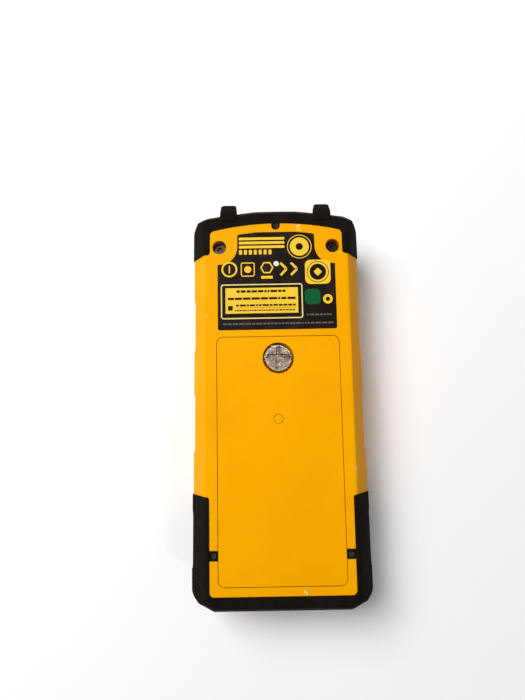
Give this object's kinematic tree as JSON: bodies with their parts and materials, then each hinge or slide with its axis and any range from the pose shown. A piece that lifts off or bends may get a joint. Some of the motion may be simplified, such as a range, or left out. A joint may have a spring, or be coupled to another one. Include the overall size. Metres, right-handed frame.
{
  "type": "laser distance meter",
  "caption": "Hand-held laser distance meter with rubber bumpers, a battery door with a flip-tab latch, a display and keys.",
  "frame": {"origin": "on the rest plane under the middle of the whole object, which lies on its front", "axes": "+X to the right seen from the back, +Y towards the optical end, +Z out of the back"},
  "size_m": [0.0556, 0.1254, 0.0298],
  "materials": {
    "yellow_plastic": "fine moulded texture, lightly worn",
    "bumper_rubber": "matt moulded rubber",
    "seal_rubber": "smooth",
    "seal_silicone": "smooth",
    "plated_steel": "zinc plated",
    "latch_metal": "nickel plated, scratched",
    "brass": "turned",
    "label_film": "printed film",
    "membrane": "porous",
    "face_plate_plastic": "satin",
    "window_glass": "clear",
    "lcd_glass": "reflective display",
    "light_guide": "clear acrylic",
    "key_orange": "matt",
    "key_grey": "matt",
    "board_green": "solder mask",
    "chip_epoxy": "moulded epoxy",
    "magnesium": "die cast",
    "lens_glass": "coated",
    "flex_film": "polyimide",
    "cell_jacket": "printed sleeve"
  },
  "bodies": {
    "housing": {"rear_housing": "yellow_plastic", "front_housing": "yellow_plastic", "rear_top_grip": "bumper_rubber", "rear_bottom_grip": "bumper_rubber", "front_top_grip": "bumper_rubber", "front_bottom_grip": "bumper_rubber", "housing_gasket": "seal_silicone", "housing_screws": "plated_steel", "latch_insert": "brass", "rating_label": "label_film", "vent_membrane": "membrane", "face_plate": "face_plate_plastic", "display_window": "window_glass", "lcd_panel": "lcd_glass", "backlight": "light_guide", "lcd_connector": "seal_silicone", "keypad_mat": "seal_silicone", "key_domes": "plated_steel", "main_board": "board_green", "board_chips": "chip_epoxy", "buzzer": "chip_epoxy", "board_screws": "plated_steel", "flex_cable": "flex_film", "optics_carrier": "magnesium", "receiver_lens": "lens_glass", "collimator_lens": "lens_glass", "laser_diode": "brass", "optics_board": "board_green", "photodiode": "chip_epoxy", "optics_screws": "plated_steel", "window_bezel": "face_plate_plastic", "front_window": "window_glass", "cell_left": "cell_jacket", "cell_right": "cell_jacket", "battery_springs": "plated_steel", "battery_contacts": "plated_steel"},
    "battery_door": {"battery_cover": "yellow_plastic", "cover_gasket": "seal_rubber"},
    "latch_screw": {"latch_base": "latch_metal", "latch_pin": "plated_steel", "latch_o_ring": "seal_rubber", "latch_clip": "plated_steel"},
    "latch_tab": {"latch_tab": "latch_metal"},
    "key_measure": {"key_measure": "key_orange"},
    "key_plus": {"key_plus": "key_grey"},
    "key_minus": {"key_minus": "key_grey"},
    "key_area_volume": {"key_area_volume": "key_grey"},
    "key_indirect": {"key_indirect": "key_grey"},
    "key_timer": {"key_timer": "key_grey"},
    "key_memory": {"key_memory": "key_grey"},
    "key_reference": {"key_reference": "key_grey"},
    "key_clear_off": {"key_clear_off": "key_grey"}
  },
  "joints": [
    {"name": "door_hinge", "type": "hinge", "parent": "housing", "child": "battery_door", "pos_m": [0, -0.05471, 0.02906], "axis": [1, 0, 0], "range_deg": [0, 75]},
    {"name": "latch_turn", "type": "hinge", "parent": "battery_door", "child": "latch_screw", "pos_m": [0, 0.01235, 0.0284], "axis": [0, 0, 1], "range_deg": [0, 90]},
    {"name": "latch_flip", "type": "hinge", "parent": "latch_screw", "child": "latch_tab", "pos_m": [0, 0.013, 0.0284], "axis": [-1, 0, 0], "range_deg": [0, 90]},
    {"name": "key_measure_press", "type": "slide", "parent": "housing", "child": "key_measure", "axis": [0, 0, 1], "range_m": [0, 0.0006], "stiffness_N_per_m": 1200},
    {"name": "key_plus_press", "type": "slide", "parent": "housing", "child": "key_plus", "axis": [0, 0, 1], "range_m": [0, 0.0006], "stiffness_N_per_m": 1200},
    {"name": "key_minus_press", "type": "slide", "parent": "housing", "child": "key_minus", "axis": [0, 0, 1], "range_m": [0, 0.0006], "stiffness_N_per_m": 1200},
    {"name": "key_area_volume_press", "type": "slide", "parent": "housing", "child": "key_area_volume", "axis": [0, 0, 1], "range_m": [0, 0.0006], "stiffness_N_per_m": 1200},
    {"name": "key_indirect_press", "type": "slide", "parent": "housing", "child": "key_indirect", "axis": [0, 0, 1], "range_m": [0, 0.0006], "stiffness_N_per_m": 1200},
    {"name": "key_timer_press", "type": "slide", "parent": "housing", "child": "key_timer", "axis": [0, 0, 1], "range_m": [0, 0.0006], "stiffness_N_per_m": 1200},
    {"name": "key_memory_press", "type": "slide", "parent": "housing", "child": "key_memory", "axis": [0, 0, 1], "range_m": [0, 0.0006], "stiffness_N_per_m": 1200},
    {"name": "key_reference_press", "type": "slide", "parent": "housing", "child": "key_reference", "axis": [0, 0, 1], "range_m": [0, 0.0006], "stiffness_N_per_m": 1200},
    {"name": "key_clear_off_press", "type": "slide", "parent": "housing", "child": "key_clear_off", "axis": [0, 0, 1], "range_m": [0, 0.0006], "stiffness_N_per_m": 1200}
  ]
}
